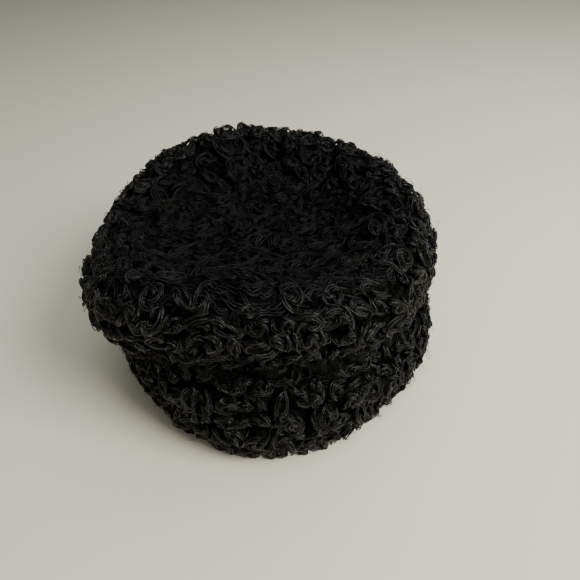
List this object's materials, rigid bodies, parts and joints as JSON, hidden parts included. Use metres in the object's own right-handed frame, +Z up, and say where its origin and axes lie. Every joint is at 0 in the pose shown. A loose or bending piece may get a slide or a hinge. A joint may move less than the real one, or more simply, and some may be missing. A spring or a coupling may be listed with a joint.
{
  "type": "fur hat",
  "caption": "Round curly lamb fur hat with a soft rolled crown, a sunken top and an upright band, open below for the head.",
  "frame": {"origin": "on the surface it stands on, under the middle of its outline", "axes": "+Z up through the crown, -Y towards the front, +X to the right as seen from the front"},
  "size_m": [0.2458, 0.2532, 0.1349],
  "materials": {
    "curled_fur": "glossy black lamb curls",
    "matted_fur": "flattened black lamb fur, satin"
  },
  "bodies": {
    "root": {"band": "curled_fur", "crown_side": "curled_fur", "crown_top": "matted_fur"}
  },
  "joints": []
}
